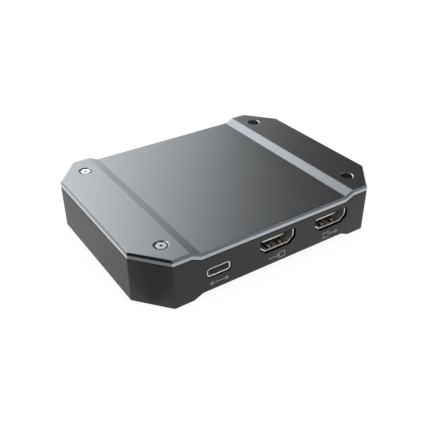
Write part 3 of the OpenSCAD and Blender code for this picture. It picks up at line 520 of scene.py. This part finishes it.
def makeCover():
    length, depth, top = boxMm("top_cover")[1]
    shape = coverShape
    inset = shape["cornerRadius"]
    cutX, cutY = shape["cornerCut"]
    slope = shape["dish"] / (shape["bend"] - shape["foot"])
    soft = shape["bendSoft"]

    def ramp(t):
        # 0 before a bend, t after it and a parabola between
        return np.where(t < -soft, 0, np.where(t > soft, t, (t + soft) ** 2 / (4 * soft)))

    def height(x):
        # The middle's level, plus one slope that starts at the foot less one that starts at the bend
        x = np.abs(x)
        return top - shape["dish"] + slope * (ramp(x - shape["foot"]) - ramp(x - shape["bend"]))

    def lowered(flat, drop):
        # Points of the plan, at a drop below the surface
        return np.concatenate([flat, (height(flat[..., 0]) - drop)[..., None]], -1)

    def planCorners(inward):
        # The two corners of a quarter of the plan, moved inwards: the cut keeps its direction
        across = np.array([cutY, cutX]) / math.hypot(cutX, cutY)
        reach = across @ (length, depth - cutY) - inward
        x, y = length - inward, depth - inward
        return np.array([[x, (reach - across[0] * x) / across[1]], [(reach - across[1] * y) / across[0], y]])

    # Plan of the sheets: one end's quarter, and the middle between the bends
    sideCorner, endCorner = planCorners(inset)
    border = shape["bend"] + soft
    screw = np.array(shape["screwAt"])
    corners = [np.array([length - inset, 0]), sideCorner, endCorner, np.array([border, depth - inset]),
               np.array([border, 0])]
    edges = [raysAlong(a, b, screw) for a, b in zip(corners, corners[1:] + corners[:1])]
    quarter = np.concatenate([edge[:-1] for edge in edges])
    rows = np.concatenate([edges[3][:, 1], -edges[3][-2::-1, 1]])
    bends = [np.linspace(at - soft, at + soft, shape["bendSteps"]) for at in (shape["foot"], shape["bend"])]
    half = np.concatenate([np.linspace(0, shape["foot"] - soft, shape["middleSteps"])[:-1], *bends])
    columns = np.concatenate([-half[:0:-1], half])

    ray = quarter - screw
    ray /= np.linalg.norm(ray, axis=-1, keepdims=True)
    bore = np.array(shape["bore"])
    sheets = []
    for side in np.array(quarters):
        for drop, rim in ((0, bore[0, 0]), (shape["thickness"], bore[-1, 0])):
            patch = np.stack([screw + rim * ray, quarter]) * side
            sheets.append(sheet(lowered(patch, drop), closed=True))
        hole = (screw + bore[:, None, :1] * ray) * side
        level = np.broadcast_to(top - bore[:, None, 1:], hole[..., :1].shape)
        sheets.append(sheet(np.concatenate([hole, level], -1), closed=True))
    middle = np.stack(np.meshgrid(columns, rows, indexing="ij"), -1)
    for drop in (0, shape["thickness"]):
        sheets.append(sheet(lowered(middle, drop)))

    # Rim: chamfer, wall and bottom edge carried round the sheets' outline
    inwards, down = shape["chamfer"]
    profile = softCorners([(0, 0), (inset - inwards, 0), (inset, down), (inset, shape["thickness"]),
                           (0, shape["thickness"])], shape["edgeSoft"])
    arc = np.concatenate([edges[0][:-1], edges[1][:-1], edges[2][:-1],
                          np.stack([half[::-1], np.full(len(half), depth - inset)], -1)])
    flip = np.array([-1, 1])
    outline = np.concatenate([arc, (arc * flip)[-2::-1], -arc[1:], (-arc * flip)[-2:0:-1]])
    rim = carried(outline, profile)
    cutSheets = [0] * len(sheets) + [1, 0]  # of the sheets so far, the rim and the rib, the rim alone
    sheets.append(sheet(lowered(rim[..., :2], rim[..., 2]), closed=True))

    # Rib underneath, which drops inside the housing's walls
    ring = []
    for offset, drop in shape["lip"]:
        inner = planCorners(-offset)
        arc = np.concatenate([inner, np.stack([half[::-1], np.full(len(half), depth + offset)], -1)])
        ring.append(lowered(np.concatenate([arc, (arc * flip)[-2::-1], -arc, (-arc * flip)[-2::-1]]), drop))
    sheets.append(sheet(np.stack(ring + ring[:1]), closed=True))
    makePiece("dishedCover", sheets, materials["cover_metal"], "top_cover", cut=cutSheets)


# Counterbores: a bright bevel round each mouth and below it a black lining of painted shade, as radius and
# drop in mm
boreRings = {
    "cutBevels": [(2.62, -0.003), (2.6, -0.006), (2.294, 0.17), (2.33, 0.21), (2.64, 0.04), (2.62, -0.003)],
    "boreShadeLinings": [(2.292, 0.2), (2.292, 1.49), (1.35, 1.49), (1.35, 1.46), (2.26, 1.46), (2.26, 0.2),
                    (2.292, 0.2)],
}
boreSteps = 72  # points round a bore


def makeBores():
    # Profile turned about each screw's axis: radius times cosine and sine of the turn
    top = boxMm("top_cover")[1][2]
    x, y = coverShape["screwAt"]
    angle = np.linspace(0, 2 * np.pi, boreSteps, endpoint=False)
    for (name, profile), material in zip(boreRings.items(), (bevelMetal, shadeLining)):
        radius, drop = np.array(profile).T[..., None]
        sheets = []
        for sideX, sideY in quarters:
            ring = np.stack([sideX * x + radius * np.cos(angle), sideY * y + radius * np.sin(angle),
                             np.broadcast_to(top - drop, (len(profile), len(angle)))], -1)
            sheets.append(sheet(ring, closed=True))
        makePiece(name, sheets, material)


# Screws: hexagon heads with a flat face and a dimple, each on a plain shank
screwShape = {
    "flats": 3.5,  # across the flats, mm
    "bevel": 0.006,
    "headHeight": 1.3,
    "headTop": 19.4,
    "dimple": (0.52, 0.7),  # radius and depth
    "shank": (1.25, 6.0),  # radius and length
    "turnStep": 5,  # degrees between points
}


def makeScrews():
    # Profile of radius and drop, turned about each screw's axis
    shape = screwShape
    angle = np.radians(np.arange(0, 360, shape["turnStep"]))
    # Radius of a hexagon: half the flats over the cosine of the turn from the nearest flat's middle
    fromFlat = (angle + math.pi / 6) % (math.pi / 3) - math.pi / 6
    hexagon = shape["flats"] / 2 / np.cos(fromFlat)
    headHeight = shape["headHeight"]
    dimpleRadius, dimpleDepth = shape["dimple"]
    shankRadius, shankLength = shape["shank"]
    one = np.ones_like(angle)
    radius = np.stack([0 * one, dimpleRadius * one, hexagon - shape["bevel"], hexagon, hexagon,
                       shankRadius * one, shankRadius * one, 0 * one])
    drop = np.array([dimpleDepth, 0, 0, shape["bevel"], headHeight, headHeight,
                     headHeight + shankLength, headHeight + shankLength])
    level = np.broadcast_to(shape["headTop"] - drop[:, None], radius.shape)
    x, y = coverShape["screwAt"]
    sheets = []
    for sideX, sideY in quarters:
        points = np.stack([sideX * x + radius * np.cos(angle), sideY * y + radius * np.sin(angle), level], -1)
        sheets += [sheet(points[:2], closed=True), sheet(points[1:], closed=True)]
    # The dimples' faces are marked as cut, which gives them the dark colour of painted shade
    makePiece("hexScrews", sheets, materials["screw_steel"], "cover_screws", sharp=20,
              cut=[1, 0] * len(quarters))


# Lips: the rolled edges of the socket shells, a rounded profile carried round each mouth, in a brighter steel
# that paints their highlight
lipShape = {
    "wall": 0.4,  # across the lip, mm
    "proud": 0.18,  # in front of the shell
    "back": 0.5,  # behind the shell's front
    "over": 0.05,  # over the shell's inner face
    "rollSteps": 9,  # points over the rounded part
    "fan": 9,  # points round a corner of a mouth
}
# Mouths of the sockets, in mm: roll is the rounded part of the lip, film the black painted shade over the
# opening's edge, and sleeve how far that shade round the shell goes in
videoMouth = {"metal": 0.35, "height": 4.55, "cut": (2.1, 1.8), "corner": 0.15,
              "roll": 0.32, "film": 0.14, "sleeve": 7.0}
mouths = {
    "videoInLip": {"node": "video_in_shell", **videoMouth},
    "videoOutLip": {"node": "video_out_shell", **videoMouth},
    "dataPortLip": {"node": "data_port_shell", "metal": 0.3, "height": 2.56, "cut": (0, 0), "corner": 0.8,
                    "roll": 0.24, "film": 0.06, "sleeve": 1.0},
}


def mouthOutline(mouth):
    # Mouth seen from the front, counterclockwise from its floor's right end, moved in by the corners' radius
    low, high = boxMm(mouth["node"])
    corner = mouth["corner"]
    cutX, cutZ = mouth["cut"]
    wide = (high[0] - low[0]) / 2 - mouth["metal"]
    ceiling = high[2] - mouth["metal"]
    floor = ceiling - mouth["height"]
    sideX = wide - corner
    if cutX:
        edge = math.hypot(cutX, cutZ)
        lowX = wide - cutX - corner * (edge - cutX) / cutZ
        sideZ = cutZ + corner * (edge - cutZ) / cutX
        half = [(lowX, floor + corner), (sideX, floor + sideZ), (sideX, ceiling - corner)]
    else:
        half = [(sideX, floor + corner), (sideX, ceiling - corner)]
    right = np.array(half)
    left = right[::-1] * (-1, 1)
    return np.concatenate([right, left]) + ((low[0] + high[0]) / 2, 0)


def makeLips():
    shape = lipShape
    for name, mouth in mouths.items():
        front = boxMm(mouth["node"])[0][1]
        inner = mouth["corner"] - shape["over"]
        outer = inner + shape["wall"]
        nose = front - shape["proud"]
        back = front + shape["back"]
        # Roll: a quarter of an ellipse from the mouth's wall to the lip's front
        turn = np.linspace(0, np.pi / 2, shape["rollSteps"])
        roll = np.stack([inner + mouth["roll"] * (1 - np.cos(turn)),
                         front - shape["proud"] * np.sin(turn)], -1)
        profile = np.concatenate([[(inner, back)], roll, [(outer, nose), (outer, back), (inner, back)]])
        ring = carried(mouthOutline(mouth), profile, shape["fan"])
        makePiece(name, [sheet(ring[..., [0, 2, 1]], closed=True)], highlightSteel, sharp=60)


# Port shades: black painted shade round each shell, in the recess behind its opening and over the opening's
# edge
portShadeShape = {
    "gap": 0.35,  # from the shell to the edge, mm
    "clear": 0.03,  # from the lip
    "overlap": 0.005,  # the film's hold on the edge
    "land": (0.08, 0.27),  # behind the housing's front: where the edge starts and ends
    "front": 0.3,  # also behind it: where the shade starts between lip and film
    "back": 1.0,  # and where its wide part ends
    "outer": 0.4,  # of the wide part, under the edge
    "thick": 0.22,  # of the sleeve behind that
}


def makePortShades():
    # Stepped profile of offset and depth behind the housing's front, carried round each mouth
    shape = portShadeShape
    front = boxMm("base_housing")[0][1]
    sheets = []
    for mouth in mouths.values():
        inner = mouth["corner"] + lipShape["wall"] - lipShape["over"] + shape["clear"]
        edge = mouth["corner"] + mouth["metal"] + shape["gap"]
        film, face = edge - mouth["film"], edge - shape["overlap"]
        outer, sleeve = edge + shape["outer"], inner + shape["thick"]
        start, end = shape["land"]
        profile = np.array([(inner, shape["front"]), (film, shape["front"]), (film, start), (face, start),
                            (face, end), (outer, end), (outer, shape["back"]), (sleeve, shape["back"]),
                            (sleeve, mouth["sleeve"]), (inner, mouth["sleeve"]), (inner, shape["front"])])
        ring = carried(mouthOutline(mouth), profile + (0, front), lipShape["fan"])
        sheets.append(sheet(ring[..., [0, 2, 1]], closed=True))
    makePiece("portShades", sheets, shadeFoam)


def bar(profile, start, end, axes):
    # Closed profile carried straight from start to end, each end shut by a fan; axes puts x, y and z in order
    along = np.broadcast_to(np.array([start, end])[:, None, None], (2, len(profile), 1))
    wall = np.concatenate([along, np.broadcast_to(profile, (2, *profile.shape))], -1)[..., axes]
    ends = np.stack([wall, np.broadcast_to(wall.mean(1, keepdims=True), wall.shape)], 1)
    return [sheet(wall, closed=True), sheet(ends[0], closed=True), sheet(ends[1], closed=True)]


# Tongue edges: bright strips along the front of the video tongues that paint a highlight line, each with a
# black lip of painted shade below it, in mm
edgeShape = {
    "width": 9.4,
    "height": 0.62,
    "below": 2.72,  # the shell's top
    "deep": 0.3,  # from front to back
    "proud": 0.03,  # in front of the tongue
    "soft": 0.12,  # reach of the rounded corners
    "lip": 0.4,  # height of the black lip below the strip, which paints shade
    "inset": 0.06,  # of the lip, in front and at its ends
}


def makeTongueEdges():
    # Rectangles with soft front corners, carried straight along the front of each tongue
    shape = edgeShape
    soft, inset = shape["soft"], shape["inset"]
    for name, node in (("videoInTongue", "video_in_tongue"), ("videoOutTongue", "video_out_tongue")):
        low, high = boxMm(node)
        middle = (low[0] + high[0]) / 2
        front = low[1] - shape["proud"]
        back = front + shape["deep"]
        top = boxMm(node.replace("tongue", "shell"))[1][2] - shape["below"] + shape["height"] / 2
        foot = top - shape["height"]
        # Edge: bright steel, painted highlight on the tongue's front. Lip: black, painted shade under it
        for part, slot, material, inwards, bottom, ceiling in (
                ("Edge", "socket_steel", highlightSteel, 0, foot, top),
                ("Lip", "socket_plastic", shadeLining, inset, foot - shape["lip"], foot + soft)):
            nose, heel = front + inwards, back - inwards
            profile = softCorners([(heel, bottom), (nose, bottom), (nose, ceiling), (heel, ceiling)], soft)
            reach = shape["width"] / 2 - inwards
            makePiece(name + part, bar(profile, middle - reach, middle + reach, [0, 1, 2]), material)


# Springs: polished crests on the two springs in each video socket's floor, and black strips of painted shade
# beside each slot
tipShape = {
    # y from the tip and z from the shell's underside, mm
    "path": [(0.0, 0.28), (0.02, 0.46), (0.2, 0.6), (0.5, 0.72), (0.75, 0.75), (1.0, 0.72), (1.3, 0.6)],
    "apart": 2.4,  # from the socket's middle
    "behind": 0.95,  # the shell's front
    "section": [(-0.45, 0), (-0.45, 0.05), (-0.3, 0.1), (0.3, 0.1), (0.45, 0.05), (0.45, 0)],
    "slotSide": (1.17, 1.4),  # from and to, from a spring's middle: the black strip of painted shade beside the slot
    "slotRun": (-0.5, 4.5),  # that strip's start and end, from the tip
    "slotOver": 0.015,  # its rise over the mouth's floor
}


def makeSpringTips():
    # Section of (across, out) carried along the path: each point moves out along the path's normal
    shape = tipShape
    path, section = np.array(shape["path"]), np.array(shape["section"])
    along = np.gradient(path, axis=0)
    along /= np.linalg.norm(along, axis=-1, keepdims=True)
    normal = along[:, ::-1] * (-1, 1)
    yz = path[:, None] + section[None, :, 1:] * normal[:, None]
    for name, node in (("videoIn", "video_in_shell"), ("videoOut", "video_out_shell")):
        low, high = boxMm(node)
        front = low[1] + shape["behind"]
        underside = high[2] - 2 * videoMouth["metal"] - videoMouth["height"]
        above = underside + videoMouth["metal"] + shape["slotOver"]
        start, end = front + np.array(shape["slotRun"])
        tips, shadeStrips = [], []
        for spring in (-1, 1):
            middle = (low[0] + high[0]) / 2 + spring * shape["apart"]
            across = np.broadcast_to(middle + section[None, :, :1], yz[..., :1].shape)
            tip = np.concatenate([across, yz + (front, underside)], -1)
            ends = [np.broadcast_to(tip[i].mean(0), (1, *tip.shape[1:])) for i in (0, -1)]
            tips.append(sheet(np.concatenate([ends[0], tip, ends[1]]), closed=True))
            # Painted shade: black strips on both sides of the spring's slot
            for side in (-1, 1):
                inner, outer = middle + side * np.array(shape["slotSide"])
                profile = np.array([(inner, underside), (outer, underside), (outer, above), (inner, above)])
                shadeStrips += bar(profile, start, end, [1, 0, 2])
        makePiece(name + "Tips", tips, springSteel, sharp=60)
        makePiece(name + "Slots", shadeStrips, shadeLining)


# Port marks: generic printed strokes under the sockets, as (x, z) from each mark's middle
markShape = {
    "stroke": 0.28,  # width, mm
    "proud": 0.015,  # in front of the housing
    "layer": 0.003,  # each stroke reaches this much further out and in than the one before it
    "height": 4.75,  # of the mark's middle
    "sink": 0.05,  # into the housing
    "capSteps": 7,  # points round a stroke's end
}
arrowLeft = [((-3.5, 0), (-2.6, 0.75)), ((-3.5, 0), (-2.6, -0.75))]
arrowRight = [((3.5, 0), (2.6, 0.75)), ((3.5, 0), (2.6, -0.75))]
arrowIn = [((-3.6, 0), (1.0, 0)), ((1.0, 0), (0.1, 0.7)), ((1.0, 0), (0.1, -0.7)),
           ((0.6, 1.1), (3.2, 1.1)), ((3.2, 1.1), (3.2, -1.1)), ((3.2, -1.1), (0.6, -1.1))]
arrowOut = [((-1.0, 0), (3.6, 0)), ((3.6, 0), (2.7, 0.7)), ((3.6, 0), (2.7, -0.7)),
            ((-0.6, 1.1), (-3.2, 1.1)), ((-3.2, 1.1), (-3.2, -1.1)), ((-3.2, -1.1), (-0.6, -1.1))]
marks = {
    "dataMark": {"node": "data_port_shell", "strokes": [((-3.5, 0), (3.5, 0))] + arrowLeft + arrowRight},
    "videoInMark": {"node": "video_in_shell", "strokes": arrowIn},
    "videoOutMark": {"node": "video_out_shell", "strokes": arrowOut},
}


def makeMarks():
    # Flat strokes with round ends, each a closed outline between two levels
    shape = markShape
    front = boxMm("base_housing")[0][1]
    levels = front + np.array([shape["sink"], -shape["proud"]])
    steps = shape["capSteps"]
    turn = np.concatenate([np.linspace(-0.5, 0.5, steps), np.linspace(0.5, 1.5, steps)])[:, None] * np.pi
    for name, mark in marks.items():
        low, high = boxMm(mark["node"])
        start, end = np.array(mark["strokes"], float).swapaxes(0, 1)
        along = (end - start) / np.linalg.norm(end - start, axis=-1, keepdims=True)
        aside = along[:, ::-1] * (-1, 1)
        # Outline of a stroke: half a stroke's width round one end, then round the other
        base = np.repeat(np.stack([end, start], 1), steps, 1)
        swung = np.cos(turn) * along[:, None] + np.sin(turn) * aside[:, None]
        outline = base + shape["stroke"] / 2 * swung
        middle = np.broadcast_to((start + end)[:, None] / 2, outline.shape)
        rings = np.stack([middle, outline, outline, middle], 1)
        over = shape["layer"] * np.arange(len(outline))[:, None] * (-1, -1, 1, 1)
        level = (levels[[0, 0, 1, 1]] - over)[..., None, None]
        place = np.array([(low[0] + high[0]) / 2, shape["height"]])
        points = np.concatenate([rings[..., :1] + place[0], np.broadcast_to(level, rings[..., :1].shape),
                                 rings[..., 1:] + place[1]], -1)
        makePiece(name, [sheet(stroke, closed=True) for stroke in points], markInk)


# Copies of CAD pieces with their sharp edges rounded, radius in mm
rounding = {
    "base_housing": {"piece": "mouldedHousing", "radius": 0.12, "segments": 2},
}
flatAngle = math.radians(0.5)  # faces that bend less than this become one
sharpAngle = math.radians(20)  # edges that bend more than this are rounded


def roundEdges(nodeName, piece, radius, segments):
    # Copy of a node's triangles: doubles merged, flat faces joined and sharp edges bevelled
    source = frame["nodes"][nodeName].data
    points = np.empty(len(source.vertices) * 3)
    source.vertices.foreach_get("co", points)
    source.calc_loop_triangles()
    faces = np.empty(len(source.loop_triangles) * 3, int)
    source.loop_triangles.foreach_get("vertices", faces)
    copy = newMesh(piece, points.reshape(-1, 3), faces.reshape(-1, 3))
    solid = bmesh.new()
    solid.from_mesh(copy.data)
    bmesh.ops.remove_doubles(solid, verts=solid.verts, dist=weldReach * mm)
    bmesh.ops.dissolve_limit(solid, angle_limit=flatAngle, verts=solid.verts, edges=solid.edges)
    solid.to_mesh(copy.data)
    solid.free()
    copy.data.polygons.foreach_set("use_smooth", np.ones(len(copy.data.polygons), bool))
    edge = copy.modifiers.new("roundedEdges", "BEVEL")
    edge.width = radius * mm
    edge.segments = segments
    edge.limit_method = "ANGLE"
    edge.angle_limit = sharpAngle
    edge.use_clamp_overlap = False
    edge.harden_normals = True
    copy.data.materials.append(materials[slotOf[nodeName]])
    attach(copy, "root")
    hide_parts(nodeName)


# Steel of the shells, brighter than their own finish: painted highlight on the rolled lip round each socket
# and on the tongues' front strips
highlightSteel = grained("paintedHighlightSteel", {"colours": ("#ece9e5", "#f4f2ef"), "roughness": (0.24, 0.32),
                                        "metallic": 1.0, "grain": 0.3, "relief": 0.002, "strength": 0.2})
# Steel strip, polished by the plug that slides on it: a soft grey shine on the springs' crests
springSteel = grained("rubbedSpringSteel", {"colours": ("#a89e95", "#b4aaa1"), "roughness": (0.42, 0.5),
                                            "metallic": 0.4, "grain": 0.25, "relief": 0.002, "strength": 0.2})
# Aluminium, turned after anodising: a bare bright ring
bevelMetal = grained("turnedBevelAluminium", {"colours": ("#e4e6e8", "#eceef0"), "roughness": (0.2, 0.28),
                                              "metallic": 1.0, "grain": 0.3, "relief": 0.002,
                                              "strength": 0.2})
# Painted shade, black and dull: in the counterbores, beside the springs' slot edges and under the tongues'
# strips
shadeLining = grained("paintedShadeBlack", {"colours": ("#040404", "#080808"), "roughness": (0.6, 0.7),
                                              "grain": 0.3, "relief": 0.004, "strength": 0.3, "ior": 1.2})
# Painted shade round the sockets: black, and it throws back hardly any light
shadeFoam = grained("cutBlackFoam", {"colours": ("#030303", "#090909"), "roughness": (0.85, 0.95),
                                     "grain": 0.15, "relief": 0.03, "strength": 0.5, "ior": 1.05})
# Ink, pad printed: pale grey and flat, slightly worn
markInk = grained("padPrintedInk", {"colours": ("#a8a8a8", "#b8b8b8"), "roughness": (0.5, 0.6),
                                    "grain": 0.2, "relief": 0.002, "strength": 0.2, "ior": 1.5})

makeCover()
makeBores()
makeScrews()
makeLips()
makePortShades()
makeTongueEdges()
makeSpringTips()
makeMarks()
for nodeName, change in rounding.items():
    roundEdges(nodeName, **change)
print("pieces made")
